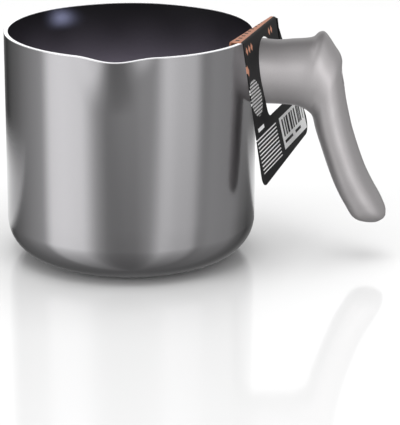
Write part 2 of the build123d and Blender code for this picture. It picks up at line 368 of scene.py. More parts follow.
# %% Sections of the handle
grip_low, grip_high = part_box("handle_grip")
handle_reach = 63.5 * MM
neck_height = 31.2 * MM
neck_underside = 75.0 * MM
grip_thickness = 16.5 * MM
grip_depth = 25.0 * MM
grip_end_height = 18.0 * MM
section_roundness = 2.3
handle_section_shares = (
    (0.213, 0.000, 0.157, 0.980, 0.92),
    (0.351, -0.004, 0.283, 1.003, 0.93),
    (0.436, -0.016, 0.371, 1.018, 0.94),
    (0.498, -0.037, 0.427, 1.044, 0.96),
    (0.540, -0.061, 0.470, 1.118, 0.97),
    (0.566, -0.082, 0.517, 1.108, 0.97),
    (0.581, -0.104, 0.585, 0.915, 0.97),
    (0.589, -0.125, 0.636, 0.740, 0.97),
    (0.598, -0.153, 0.650, 0.523, 0.97),
    (0.606, -0.184, 0.662, 0.308, 0.97),
    (0.619, -0.221, 0.679, 0.086, 0.98),
    (0.638, -0.270, 0.702, -0.072, 0.98),
    (0.666, -0.337, 0.725, -0.177, 0.99),
    (0.702, -0.425, 0.755, -0.286, 1.00),
    (0.749, -0.535, 0.794, -0.414, 1.00),
    (0.806, -0.656, 0.841, -0.547, 1.00),
    (0.874, -0.774, 0.898, -0.672, 0.98),
    (0.940, -0.870, 0.954, -0.781, 0.96),
    (0.987, -0.937, 0.994, -0.880, 0.90),
    (1.034, -0.975, 1.000, -0.947, 0.72),
    (1.094, -0.995, 0.960, -0.992, 0.44),
)
root_depth_share = 0.92
section_points = 80
steps_between = 6
end_shares = (0.85, 0.6, 0.3, 0.001)
end_crown = 0.25 * MM


def handle_level(share):
    """Height of a level share, in the neck above its underside or in the grip below it."""
    if share >= 0:
        return neck_underside + share * neck_height
    return neck_underside + share * (neck_underside - grip_end_height)


def handle_stations():
    """Inner point, outer point and half depth of each section, from the wall outwards."""
    root_depth = grip_depth / 2 * root_depth_share
    root = (grip_low.x, neck_underside, grip_low.x, neck_underside + neck_height, root_depth)
    stations = [root]
    for inner_reach, inner_level, outer_reach, outer_level, depth in handle_section_shares:
        inner_x = pan_radius + inner_reach * (handle_reach - grip_thickness)
        outer_x = pan_radius + outer_reach * handle_reach
        inner_z = handle_level(inner_level)
        outer_z = handle_level(outer_level)
        stations.append((inner_x, inner_z, outer_x, outer_z, grip_depth / 2 * depth))
    return stations


def smooth_between(stations, steps):
    """More stations on a smooth curve through the given ones."""
    made = []
    for index in range(len(stations) - 1):
        before = stations[max(index - 1, 0)]
        start = stations[index]
        end = stations[index + 1]
        after = stations[min(index + 2, len(stations) - 1)]
        for step in range(steps):
            t = step / steps
            weights = (
                -0.5 * t + t * t - 0.5 * t**3,
                1 - 2.5 * t * t + 1.5 * t**3,
                0.5 * t + 2 * t * t - 1.5 * t**3,
                -0.5 * t * t + 0.5 * t**3,
            )
            around = zip(before, start, end, after)
            made.append([sum(w * v for w, v in zip(weights, values)) for values in around])
    return made + [stations[-1]]


def oval_ring(station, shrink=1.0, shift=Vector((0, 0, 0))):
    """The rounded oval between a station's inner and outer points."""
    inner_x, inner_z, outer_x, outer_z, half_depth = station
    centre = Vector(((inner_x + outer_x) / 2, 0, (inner_z + outer_z) / 2))
    half_span = Vector(((outer_x - inner_x) / 2, 0, (outer_z - inner_z) / 2))
    ring = []
    for index in range(section_points):
        angle = 2 * pi * index / section_points
        across = abs(cos(angle)) ** (2 / section_roundness) * (1 if cos(angle) >= 0 else -1)
        deep = abs(sin(angle)) ** (2 / section_roundness) * (1 if sin(angle) >= 0 else -1)
        point = half_span * across * shrink + Vector((0, half_depth * deep * shrink, 0))
        point = centre + point + shift
        point.x = min(point.x, grip_high.x)
        ring.append(point)
    return ring


stations = smooth_between(handle_stations(), steps_between)
handle_rings = [oval_ring(station) for station in stations]
for share in end_shares:
    crown = Vector((0, 0, -end_crown * (1 - share**2)))
    handle_rings.append(oval_ring(stations[-1], share, crown))
handle = skin("handle", handle_rings)
print("handle box", [round(v / MM, 2) for v in grip_low], [round(v / MM, 2) for v in grip_high])

# %% [markdown]
# ## The screw's way through the handle
# A long screw holds the handle. Its head lies at the bottom of a deep round counterbore whose mouth
# opens on the handle's outer side. One turned cutter with the bore, the counterbore and a small
# flare at the mouth is cut out of the moulding, and so is the socket for the bracket's boss.

# %% Cut the counterbore and the socket
neck_axis = neck_underside + neck_height / 2
washer_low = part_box("plain_washer")[0]
boss_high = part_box("handle_bracket")[1]
bore_radius = 2.8 * MM
counterbore_radius = 5.5 * MM
flare = 0.6 * MM
bore_overlap = 4 * flare
mouth_depth = 2 * flare
cutter_overshoot = 8 * flare
mouth_reach = 100.9 * MM
cutter_points = 64
socket_gap = 0.2 * MM
boss_half_width = 6.0 * MM
boss_half_height = 9.0 * MM
socket_overlap = 2 * MM
socket_end_gap = 0.4 * MM


def turned_ring(reach, radius):
    """A circle about the neck's axis, square to X."""
    angles = [2 * pi * index / cutter_points for index in range(cutter_points)]
    return [
        Vector((reach, radius * cos(angle), neck_axis + radius * sin(angle))) for angle in angles
    ]


def cut_away(item, cutter):
    """Cut one closed mesh out of another and forget the cutter."""
    modifier = item.modifiers.new("cut", "BOOLEAN")
    modifier.operation = "DIFFERENCE"
    modifier.solver = "EXACT"
    modifier.object = cutter
    graph = bpy.context.evaluated_depsgraph_get()
    mesh = bpy.data.meshes.new_from_object(item.evaluated_get(graph))
    item.modifiers.clear()
    item.data = mesh
    bpy.data.objects.remove(cutter)
    mesh.set_sharp_from_angle(angle=smooth_limit)


bore_cutter = skin(
    "bore_cutter",
    [
        turned_ring(boss_high.x - bore_overlap, bore_radius),
        turned_ring(washer_low.x, bore_radius),
        turned_ring(washer_low.x, counterbore_radius),
        turned_ring(mouth_reach, counterbore_radius),
        turned_ring(mouth_reach + mouth_depth, counterbore_radius + flare),
        turned_ring(mouth_reach + cutter_overshoot, counterbore_radius + flare),
    ],
)
cut_away(handle, bore_cutter)

socket_start = grip_low.x - socket_overlap
socket_end = boss_high.x + socket_end_gap
socket_half_width = boss_half_width + socket_gap
socket_half_height = boss_half_height + socket_gap
socket_corners = [(-1, -1), (1, -1), (1, 1), (-1, 1)]
socket_cutter = skin(
    "socket_cutter",
    [
        [
            Vector((reach, socket_half_width * across, neck_axis + socket_half_height * up))
            for across, up in socket_corners
        ]
        for reach in (socket_start, socket_end)
    ],
)
cut_away(handle, socket_cutter)

# %% [markdown]
# ## The card tag
# The tag is die-cut from flat board and then folded, so it is made that way: first the flat
# pattern with its arched hole, then two folds. The flat place of every point is kept as the
# piece's UV map, in millimetres, and the print follows the card through its folds.

# %% The flat pattern
card_thickness = 0.5 * MM
card_yaw = radians(11.5)
card_lean = radians(13.5)
# From here the card's lengths are plain millimetres, scaled once the card is folded.
crease_distance = 60.45
crease_height = 110.6
card_offset = 11.2
card_top_width = 57.5
card_bottom_width = 90.7
card_height = 63.2
bottom_slope = tan(radians(2.6))
near_corner_radius = 4.0
far_corner_radius = 7.0
spine_near_width = 6.2
spine_far_width = 2.4
flap_drop = 5.75
flap_width = 25.0
neck_drop = crease_height - (neck_underside + neck_height) / MM
gap_above_neck = 0.47
gap_below_neck = 2.4
neck_half_width = 11.5
gap_beside_neck = 5.6
hole_top = (neck_drop - gap_above_neck) / cos(card_lean)
hole_bottom = (crease_height - neck_underside / MM + gap_below_neck) / cos(card_lean)
hole_half_width = neck_half_width + gap_beside_neck
hole_corner_radius = 3.5
hole_straight_share = 0.4
arc_steps = 12
arch_steps = 40


def rounded_corner(before, corner, after, radius):
    """Points of a round corner between two straight edges."""
    back = (before - corner).normalized()
    on = (after - corner).normalized()
    half = back.angle(on) / 2
    start = corner + back * radius / tan(half)
    end = corner + on * radius / tan(half)
    centre = corner + (back + on).normalized() * radius / sin(half)
    swept = []
    for step in range(arc_steps + 1):
        share = step / arc_steps
        ray = (start - centre).lerp(end - centre, share).normalized()
        swept.append(centre + ray * radius)
    return swept


def pattern_outline():
    """The flat card's outline. The first number runs along the fold, the second down the panel."""
    start = card_offset - card_top_width / 2
    end = card_offset + card_top_width / 2
    half_bottom = card_bottom_width / 2
    slope = half_bottom * bottom_slope
    near_bottom = Vector((card_offset - half_bottom, card_height + slope))
    far_bottom = Vector((card_offset + half_bottom, card_height - slope))
    near_top = Vector((start, 0))
    far_top = Vector((end, 0))
    taper = (spine_near_width - spine_far_width) / card_top_width
    flap_end = Vector((start + flap_width, -spine_near_width + flap_width * taper))
    across = Vector((taper, -1)).normalized() * flap_drop
    flap_start = Vector((start, -spine_near_width))
    outline = [flap_start, near_top]
    outline += rounded_corner(near_top, near_bottom, far_bottom, near_corner_radius)
    outline += rounded_corner(near_bottom, far_bottom, far_top, far_corner_radius)
    outline += [far_top, Vector((end, -spine_far_width)), flap_end]
    return outline + [flap_end + across, flap_start + across]


def pattern_hole():
    """The neck's hole: straight sides, two round corners below and half an ellipse above."""
    neck_level = crease_height - neck_axis / MM
    middle = (crease_distance + neck_level * tan(card_lean)) * tan(card_yaw)
    left = middle - hole_half_width
    right = middle + hole_half_width
    shoulder = hole_bottom + (hole_top - hole_bottom) * hole_straight_share
    corners = [
        Vector((left, shoulder)),
        Vector((left, hole_bottom)),
        Vector((right, hole_bottom)),
        Vector((right, shoulder)),
    ]
    points = [corners[0]]
    points += rounded_corner(corners[0], corners[1], corners[2], hole_corner_radius)
    points += rounded_corner(corners[1], corners[2], corners[3], hole_corner_radius)
    for step in range(arch_steps):
        angle = pi * step / arch_steps
        level = shoulder + (hole_top - shoulder) * sin(angle)
        points.append(Vector((middle + hole_half_width * cos(angle), level)))
    return points


def flat_card():
    """The pattern as a flat mesh, filled between its outline and its hole."""
    curve = bpy.data.curves.new("card_pattern", "CURVE")
    curve.dimensions = "2D"
    curve.fill_mode = "BOTH"
    for points in (pattern_outline(), pattern_hole()):
        spline = curve.splines.new("POLY")
        spline.points.add(len(points) - 1)
        for target, point in zip(spline.points, points):
            target.co = (point.x, point.y, 0, 1)
        spline.use_cyclic_u = True
    holder = bpy.data.objects.new("card_pattern", curve)
    bpy.context.scene.collection.objects.link(holder)
    graph = bpy.context.evaluated_depsgraph_get()
    mesh = bpy.data.meshes.new_from_object(holder.evaluated_get(graph))
    bpy.data.objects.remove(holder)
    return mesh


# %% [markdown]
# The folds are small round bends. The flat mesh is first scored with a few rows of points along
# each fold, then every point is moved to its place on the folded card.

# %% Fold the card
fold_radius = 0.6
fold_rows = (-1.0, -0.6, -0.2, 0.2, 0.6, 1.0)
out = Vector((cos(card_yaw), -sin(card_yaw), 0))
along_fold = Vector((sin(card_yaw), cos(card_yaw), 0))
panel_down = out * sin(card_lean) - Vector((0, 0, cos(card_lean)))
fold_origin = out * crease_distance + Vector((0, 0, crease_height))
spine_start = Vector((card_offset - card_top_width / 2, -spine_near_width))
spine_line = Vector((card_top_width, spine_near_width - spine_far_width)).normalized()
spine_across = Vector((spine_line.y, -spine_line.x))


def bend(distance, first, second):
    """Where a point this far past a fold goes, from the fold's corner, between two directions."""
    turn_angle = first.angle(second)
    reach = fold_radius * tan(turn_angle / 2)
    if distance <= -reach:
        return first * distance
    if distance >= reach:
        return second * distance
    swept = (distance + reach) / (2 * reach) * turn_angle
    inward = (second - first * first.dot(second)).normalized()
    return first * (fold_radius * sin(swept) - reach) + inward * fold_radius * (1 - cos(swept))


def folded(point):
    """The place of a flat point on the folded card, in millimetres."""
    flat = Vector((point.x, point.y))
    past_spine = (flat - spine_start).dot(spine_across)
    if past_spine > -fold_radius:
        foot = flat - spine_across * past_spine
        corner = fold_origin + along_fold * foot.x + out * foot.y
        inward = (along_fold * spine_across.x + out * spine_across.y).normalized()
        return corner + bend(past_spine, inward, Vector((0, 0, -1)))
    return fold_origin + along_fold * flat.x + bend(flat.y, out, panel_down)


def score(bm, point, across, reach):
    """Cut rows of points along a fold."""
    square = across.to_3d()
    for share in fold_rows:
        place = (point + across * share * reach).to_3d()
        geometry = bm.verts[:] + bm.edges[:] + bm.faces[:]
        bmesh.ops.bisect_plane(bm, geom=geometry, plane_co=place, plane_no=square, dist=1e-5)


def folded_card():
    """Score, fold and thicken the flat card."""
    mesh = flat_card()
    bm = bmesh.new()
    bm.from_mesh(mesh)
    bmesh.ops.remove_doubles(bm, verts=bm.verts, dist=1e-4)
    score(bm, Vector((0, 0)), Vector((0, 1)), fold_radius * tan((pi / 2 - card_lean) / 2))
    score(bm, spine_start, spine_across, fold_radius)
    flat_places = bm.loops.layers.uv.new("card_flat")
    for face in bm.faces:
        for corner in face.loops:
            corner[flat_places].uv = corner.vert.co.xy
    for vertex in bm.verts:
        vertex.co = folded(vertex.co) * MM
    bmesh.ops.recalc_face_normals(bm, faces=bm.faces)
    bm.to_mesh(mesh)
    bm.free()
    card = mesh_object("card_tag", mesh)
    thicken = card.modifiers.new("board", "SOLIDIFY")
    thicken.thickness = card_thickness
    thicken.offset = 0
    thicken.use_even_offset = True
    graph = bpy.context.evaluated_depsgraph_get()
    card.data = bpy.data.meshes.new_from_object(card.evaluated_get(graph))
    card.modifiers.clear()
    card.data.set_sharp_from_angle(angle=smooth_limit)
    return card


card_tag = folded_card()

# %% [markdown]
# ## Small metal pieces
# The bracket, the flame guard, the screw and its washers keep the shapes of their CAD solids. The
# frame's meshes are loose triangles, so each is copied, its points are joined and its round faces
# are shaded smooth.

# %% Smooth copies of the small pieces
def smooth_copy(node, name):
    """A joined, smooth-shaded copy of a CAD node's mesh."""
    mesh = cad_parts[node].data.copy()
    mesh.materials.clear()
    bm = bmesh.new()
    bm.from_mesh(mesh)
    bmesh.ops.remove_doubles(bm, verts=bm.verts, dist=1e-6)
    bm.to_mesh(mesh)
    bm.free()
    return mesh_object(name, mesh)


bracket = smooth_copy("handle_bracket", "bracket")
guard = smooth_copy("flame_guard", "guard")
screw = smooth_copy("handle_screw", "screw")
flat_washer = smooth_copy("plain_washer", "flat_washer")
split_washer = smooth_copy("spring_washer", "split_washer")
base_disc = smooth_copy("induction_disc", "base_disc")

# %% [markdown]
# ## Aluminium in the disc's holes
# When the steel disc is pressed into the base, the aluminium flows up through its holes and ends
# level with it. Each hole gets its round plug. The plugs stand on rings, so Geometry Nodes places
# them: one tree makes the points of one ring and puts a plug on each.

# %% Geometry Nodes for one ring of plugs
plug_diameter = 3.8 * MM
plug_pitch = 6.6 * MM
first_ring_radius = 9.0 * MM
disc_edge_margin = 3.0 * MM
plug_corners = 32


def ring_tree(material):
    """A tree that sets a ring of plugs round the Z axis."""
    tree = bpy.data.node_groups.new("plug_ring", "GeometryNodeTree")
    tree.interface.new_socket("Geometry", in_out="OUTPUT", socket_type="NodeSocketGeometry")
    tree.interface.new_socket("Count", in_out="INPUT", socket_type="NodeSocketInt")
    for name in ("Ring Radius", "Plug Radius", "Plug Height"):
        tree.interface.new_socket(name, in_out="INPUT", socket_type="NodeSocketFloat")
    asked = add_node(tree, "NodeGroupInput")
    plug_height = asked.outputs["Plug Height"]
    circle = add_node(
        tree,
        "GeometryNodeMeshCircle",
        {"Vertices": asked.outputs["Count"], "Radius": asked.outputs["Ring Radius"]},
    )
    plug = add_node(
        tree,
        "GeometryNodeMeshCylinder",
        {"Vertices": plug_corners, "Radius": asked.outputs["Plug Radius"], "Depth": plug_height},
    )
    lift = add_node(tree, "ShaderNodeMath", {0: plug_height, 1: 0.5}, operation="MULTIPLY")
    place = add_node(tree, "ShaderNodeCombineXYZ", {"Z": lift.outputs[0]})
    raised = add_node(
        tree,
        "GeometryNodeTransform",
        {"Geometry": plug.outputs["Mesh"], "Translation": place.outputs[0]},
    )
    placed = add_node(
        tree,
        "GeometryNodeInstanceOnPoints",
        {"Points": circle.outputs["Mesh"], "Instance": raised.outputs["Geometry"]},
    )
    real = add_node(tree, "GeometryNodeRealizeInstances", {"Geometry": placed.outputs["Instances"]})
    finished = add_node(
        tree,
        "GeometryNodeSetMaterial",
        {"Geometry": real.outputs["Geometry"], "Material": material},
    )
    add_node(tree, "NodeGroupOutput", {"Geometry": finished.outputs["Geometry"]})
    return tree


def run_tree(name, tree, values):
    """Run a tree with these named inputs and keep the result as a plain mesh."""
    holder = bpy.data.objects.new(name, bpy.data.meshes.new(name))
    bpy.context.scene.collection.objects.link(holder)
    modifier = holder.modifiers.new("tree", "NODES")
    modifier.node_group = tree
    for item in tree.interface.items_tree:
        if item.in_out == "INPUT" and item.name in values:
            modifier[item.identifier] = values[item.name]
    graph = bpy.context.evaluated_depsgraph_get()
    mesh = bpy.data.meshes.new_from_object(holder.evaluated_get(graph))
    bpy.data.objects.remove(holder)
    return mesh


def join_meshes(name, meshes):
    """One mesh from several."""
    bm = bmesh.new()
    for mesh in meshes:
        bm.from_mesh(mesh)
    joined = bpy.data.meshes.new(name)
    bm.to_mesh(joined)
    bm.free()
    return mesh_object(name, joined)


# %% [markdown]
# ## Bare aluminium
# The rim and the base's edge are turned on a lathe after coating, so they are bright, with very
# fine grooves round the axis. The grooves are too fine to see here, so they are drawn about 0.3 mm
# apart, as a noise of one number: the distance from the axis plus the height.

# %% Turned aluminium
groove_pitch = 0.3 * MM


def turned_aluminium():
    """Bright lathe-turned aluminium."""
    material, tree, shader = new_material(
        "turned_aluminium", {"Base Color": srgb("eeeef0"), "Metallic": 1.0, "Roughness": 0.24}
    )
    place = add_node(tree, "ShaderNodeTexCoord")
    split = add_node(tree, "ShaderNodeSeparateXYZ", {0: place.outputs["Object"]})
    inputs = {"X": split.outputs["X"], "Y": split.outputs["Y"]}
    flat = add_node(tree, "ShaderNodeCombineXYZ", inputs)
    radius = add_node(tree, "ShaderNodeVectorMath", {0: flat.outputs[0]}, operation="LENGTH")
    inputs = {0: radius.outputs["Value"], 1: split.outputs["Z"]}
    across = add_node(tree, "ShaderNodeMath", inputs, operation="ADD")
    grooves = add_node(
        tree,
        "ShaderNodeTexNoise",
        {"W": across.outputs[0], "Scale": 1 / groove_pitch, "Detail": 2.0},
        noise_dimensions="1D",
    )
    level = add_node(
        tree,
        "ShaderNodeMapRange",
        {"Value": grooves.outputs["Fac"], "To Min": 0.18, "To Max": 0.32},
    )
    tree.links.new(level.outputs[0], shader.inputs["Roughness"])
    bump = add_node(
        tree,
        "ShaderNodeBump",
        {"Height": grooves.outputs["Fac"], "Strength": 0.15, "Distance": 0.02 * MM},
    )
    tree.links.new(bump.outputs[0], shader.inputs["Normal"])
    return material


aluminium = turned_aluminium()
dress(vessel, "pan", [aluminium], ["pan_body"])

plug_tree = ring_tree(aluminium)
plug_meshes = []
ring_radius = first_ring_radius
while ring_radius + plug_diameter / 2 + disc_edge_margin <= recess_radius:
    count = int(2 * pi * ring_radius / plug_pitch)
    sizes = {
        "Count": count,
        "Ring Radius": ring_radius,
        "Plug Radius": plug_diameter / 2,
        "Plug Height": recess_height,
    }
    plug_meshes.append(run_tree("plug_ring", plug_tree, sizes))
    ring_radius += plug_pitch
base_plugs = join_meshes("base_plugs", plug_meshes)
dress(base_plugs, "pan", [aluminium])

# %% [markdown]
# ## Grain in sprayed and painted finishes
# A sprayed finish is never one flat colour. One helper varies it between two close tones, in specks
# as large as its grain, and can raise the specks a little, so that the light catches on them.

# %% Add a grain
def add_grain(tree, shader, size, detail, tones, bump=None):
    """Vary a finish's colour in specks of this size. bump is a strength and a height."""
    place = add_node(tree, "ShaderNodeTexCoord")
    grain = add_node(
        tree,
        "ShaderNodeTexNoise",
        {"Vector": place.outputs["Object"], "Scale": 1 / size, "Detail": detail},
    )
    dark, light = tones
    tone = add_node(
        tree,
        "ShaderNodeMix",
        {"Factor": grain.outputs["Fac"], "A": srgb(dark), "B": srgb(light)},
        data_type="RGBA",
    )
    tree.links.new(tone.outputs["Result"], shader.inputs["Base Color"])
    if bump:
        strength, height = bump
        inputs = {"Height": grain.outputs["Fac"], "Strength": strength, "Distance": height}
        raised = add_node(tree, "ShaderNodeBump", inputs)
        tree.links.new(raised.outputs[0], shader.inputs["Normal"])


# %% [markdown]
# ## Metallic lacquer
# The outside is a dark silver bake-on lacquer: fine aluminium flakes in a tinted resin, under a
# clear, smooth surface. It mirrors its surroundings like dark polished metal, a little softened.
# The flakes are far too small to see, so they are drawn 0.25 mm across, as a faint sparkle.

# %% Dark silver lacquer
flake_size = 0.25 * MM


def silver_lacquer():
    """Dark silver metallic lacquer with a clear top."""
    material, tree, shader = new_material(
        "silver_lacquer",
        {
            "Base Color": srgb("919092"),
            "Metallic": 1.0,
            "Roughness": 0.16,
            "Coat Weight": 0.35,
            "Coat Roughness": 0.05,
        },
    )
    add_grain(tree, shader, flake_size, 1.0, ("8b8a8c", "979698"))
    return material


dress(lacquer_coat, "pan", [silver_lacquer()], ["outer_lacquer"])

# %% [markdown]
# ## Non-stick lining
# The lining is a black fluoropolymer coat, sprayed and baked. It is smooth but dull, with an even
# fine grain, and it throws back only a soft, blurred light. The grain is drawn 0.6 mm across, which
# is coarser than the real one, so that it shows.

# %% Black lining
lining_grain = 0.6 * MM


def nonstick_black():
    """Baked black non-stick coat."""
    material, tree, shader = new_material(
        "nonstick_black",
        {"Base Color": srgb("151417"), "Roughness": 0.36, "Specular IOR Level": 0.3},
    )
    add_grain(tree, shader, lining_grain, 3.0, ("111013", "19181b"), (0.2, 0.02 * MM))
    return material


dress(lining, "pan", [nonstick_black()], ["nonstick_lining"])

# %% [markdown]
# ## Soft-touch handle
# The handle is moulded bakelite under a silver soft-touch paint. The paint is silky: it spreads the
# light over the form, bright where the surface faces the room and darker towards the edges. Its
# grain is drawn 0.35 mm across, again coarser than the real one.

# %% Silver soft-touch paint
paint_grain = 0.35 * MM


def soft_touch_silver():
    """Silver soft-touch paint on a moulding."""
    material, tree, shader = new_material(
        "soft_touch_silver",
        {
            "Base Color": srgb("a9a6a7"),
            "Metallic": 0.7,
            "Roughness": 0.5,
            "Specular IOR Level": 0.3,
        },
    )
    add_grain(tree, shader, paint_grain, 2.0, ("9e9b9c", "aaa7a8"), (0.12, 0.03 * MM))
    return material


dress(handle, "pan", [soft_touch_silver()], ["handle_grip"])

# %% [markdown]
# ## Steel and cast aluminium
# The flame guard and the disc are stamped stainless sheet, rolled with a fine straight grain. The
# screw and washers are zinc plated, smoother and a little bluish. The bracket is cast, and dull.

# %% Metals of the small pieces
# The real grain is too fine to show, so it is drawn 0.4 mm wide.
metal_grain = 0.4 * MM


def grained_metal(name, colour, roughness, grain_along):
    """Metal with a grain, which a small scale on one axis draws out into lines."""
    material, tree, shader = new_material(
        name, {"Base Color": srgb(colour), "Metallic": 1.0, "Roughness": roughness}
    )
    place = add_node(tree, "ShaderNodeTexCoord")
    stretched = add_node(
        tree,
        "ShaderNodeMapping",
        {"Vector": place.outputs["Object"], "Scale": grain_along},
    )
    grain = add_node(
        tree,
        "ShaderNodeTexNoise",
        {"Vector": stretched.outputs[0], "Scale": 1 / metal_grain, "Detail": 3.0},
    )
    level = add_node(
        tree,
        "ShaderNodeMapRange",
        {"Value": grain.outputs["Fac"], "To Min": roughness - 0.08, "To Max": roughness + 0.12},
    )
    tree.links.new(level.outputs[0], shader.inputs["Roughness"])
    bump = add_node(
        tree,
        "ShaderNodeBump",
        {"Height": grain.outputs["Fac"], "Strength": 0.1, "Distance": 0.02 * MM},
    )
    tree.links.new(bump.outputs[0], shader.inputs["Normal"])
    return material


stainless = grained_metal("stainless_sheet", "b9b7b4", 0.30, (1.0, 0.04, 1.0))
zinc_plate = grained_metal("zinc_plate", "c3c6c9", 0.26, (0.3, 0.3, 0.3))
cast_aluminium = grained_metal("cast_aluminium", "a9a9aa", 0.5, (0.5, 0.5, 0.5))
dress(bracket, "pan", [cast_aluminium], ["handle_bracket"])
dress(guard, "pan", [stainless], ["flame_guard"])
dress(screw, "pan", [zinc_plate], ["handle_screw"])
dress(flat_washer, "pan", [zinc_plate], ["plain_washer"])
dress(split_washer, "pan", [zinc_plate], ["spring_washer"])
dress(base_disc, "pan", [stainless], ["induction_disc"])

# %% [markdown]
# ## Printed board
# The tag is white-cored board, printed charcoal all over and varnished. Its spine carries a copper
# foil strip. The rest of the print is plain: copper lozenges, a lattice of dots, even rules and a
# pale panel with even bars, all drawn coarser than real print, so that they show. Each shape is a
# mask worked out from the card's flat coordinates. The cut edge keeps the print's finish.

# %% Masks of the print
# Places on the flat card are in millimetres: first along the fold, then down the panel.
foil_start = -0.9
foil_marks = (-4.4, -2.6)
foil_mark_pitch = 5.0
foil_mark_share = 0.35
small_lozenges = ((-15.0, 4.6), (-11.0, 4.4), (-7.0, 4.2), (24.5, 3.8), (28.5, 3.6))
small_lozenge_size = (1.6, 0.8)
large_lozenge = (-19.8, 12.8)
large_lozenge_size = (1.9, 0.7)
dot_pitch = 1.5
dot_size = 0.42
dotted_disc = ((-16.5, 26.5), 8.6)
heading_rule = (-24.0, -14.0, 39.6, 41.4)
rule_area = (-29.0, 4.0, 43.6, 60.0)
rule_pitch = 1.75
rule_share = 0.36
panel_area = (10.0, 52.0, 43.5, 59.0)
bar_area = (12.5, 49.5, 45.0, 53.5)
fine_bars = (4.4, 0.45)
wide_bars = (7.0, 0.2)
short_bars = ((13.0, 27.0, 55.2, 56.6), (32.0, 42.0, 55.2, 56.6))


def card_masks(tree):
    """Where the print is pale and where it is foil, as two sockets that are 1 inside."""
    flat = add_node(tree, "ShaderNodeUVMap", uv_map="card_flat")
    split = add_node(tree, "ShaderNodeSeparateXYZ", {0: flat.outputs[0]})
    along, down = split.outputs["X"], split.outputs["Y"]

    def both(first, second):
        inputs = {0: first, 1: second}
        return add_node(tree, "ShaderNodeMath", inputs, operation="MULTIPLY").outputs[0]

    def either(first, second):
        inputs = {0: first, 1: second}
        return add_node(tree, "ShaderNodeMath", inputs, operation="MAXIMUM").outputs[0]

    def without(first, second):
        rest = add_node(tree, "ShaderNodeMath", {0: 1.0, 1: second}, operation="SUBTRACT")
        return both(first, rest.outputs[0])

    def below(value, limit):
        inputs = {0: value, 1: limit}
        return add_node(tree, "ShaderNodeMath", inputs, operation="LESS_THAN").outputs[0]

    def between(value, low, high):
        past = add_node(tree, "ShaderNodeMath", {0: value, 1: low}, operation="GREATER_THAN")
        return both(past.outputs[0], below(value, high))

    def block(left, right, top, bottom):
        return both(between(along, left, right), between(down, top, bottom))

    def offset(value, middle):
        inputs = {0: value, 1: middle}
        return add_node(tree, "ShaderNodeMath", inputs, operation="SUBTRACT").outputs[0]

    def distance(value, middle):
        inputs = {0: offset(value, middle)}
        return add_node(tree, "ShaderNodeMath", inputs, operation="ABSOLUTE").outputs[0]

    def within(first, second, limit):
        total = add_node(tree, "ShaderNodeMath", {0: first, 1: second}, operation="ADD")
        return below(total.outputs[0], limit)

    def phase(value, pitch):
        counted = add_node(tree, "ShaderNodeMath", {0: value, 1: pitch}, operation="DIVIDE")
        inputs = {0: counted.outputs[0]}
        return add_node(tree, "ShaderNodeMath", inputs, operation="FRACT").outputs[0]

    def bars(value, pitch, share):
        return below(phase(value, pitch), share)

    def lozenge(centre, size, skew):
        return within(distance(along, centre[0]), both(distance(down, centre[1]), skew), size)

    def disc(centre, radius):
        squares = []
        for value, middle in zip((along, down), centre):
            off = offset(value, middle)
            squares.append(both(off, off))
        return within(*squares, radius * radius)

    def lattice(pitch, size):
        sides = [distance(phase(value, pitch), 0.5) for value in (along, down)]
        return within(*sides, size)

    marks = both(bars(along, foil_mark_pitch, foil_mark_share), between(down, *foil_marks))
    foil = without(below(down, foil_start), marks)
    for centre in small_lozenges:
        foil = either(foil, lozenge(centre, *small_lozenge_size))
    foil = either(foil, lozenge(large_lozenge, *large_lozenge_size))

    pale = both(lattice(dot_pitch, dot_size), disc(*dotted_disc))
    pale = either(pale, block(*heading_rule))
    pale = either(pale, both(bars(down, rule_pitch, rule_share), block(*rule_area)))
    code_bars = both(either(bars(along, *fine_bars), bars(along, *wide_bars)), block(*bar_area))
    dark_bars = either(code_bars, either(*[block(*area) for area in short_bars]))
    return either(pale, without(block(*panel_area), dark_bars)), foil


# %% Charcoal print with copper foil
mottling_size = 1.2 * MM
foil_metallic = 0.6


def printed_board():
    """Charcoal printed board with copper foil, pale rules and a pale panel."""
    material, tree, shader = new_material(
        "printed_board", {"Roughness": 0.55, "Specular IOR Level": 0.15}
    )
    pale, foil = card_masks(tree)
    fibre = add_node(tree, "ShaderNodeTexCoord")
    mottling = add_node(
        tree,
        "ShaderNodeTexNoise",
        {"Vector": fibre.outputs["Object"], "Scale": 1 / mottling_size, "Detail": 3.0},
    )
    colour = add_node(
        tree,
        "ShaderNodeMix",
        {"Factor": mottling.outputs["Fac"], "A": srgb("111112"), "B": srgb("1b1b1c")},
        data_type="RGBA",
    )
    for mask, code in ((pale, "f2f2f2"), (foil, "e0a184")):
        inputs = {"Factor": mask, "A": colour.outputs["Result"], "B": srgb(code)}
        colour = add_node(tree, "ShaderNodeMix", inputs, data_type="RGBA")
    tree.links.new(colour.outputs["Result"], shader.inputs["Base Color"])
    inputs = {0: foil, 1: foil_metallic}
    shine = add_node(tree, "ShaderNodeMath", inputs, operation="MULTIPLY")
    tree.links.new(shine.outputs[0], shader.inputs["Metallic"])
    return material


dress(card_tag, "hang_tag", [printed_board()], ["tag_card"])

# %% [markdown]
# ## The studio
# A polished pan is lit by what it mirrors. Round it stands a dim studio with a tall bright soft box
# on the left and a lower one on the right, and a white wall behind. The world's colour holds that
# ring of light, by direction. Each row gives an angle, counted from the camera and positive to the
# right, and the brightness there. The camera itself sees plain white.

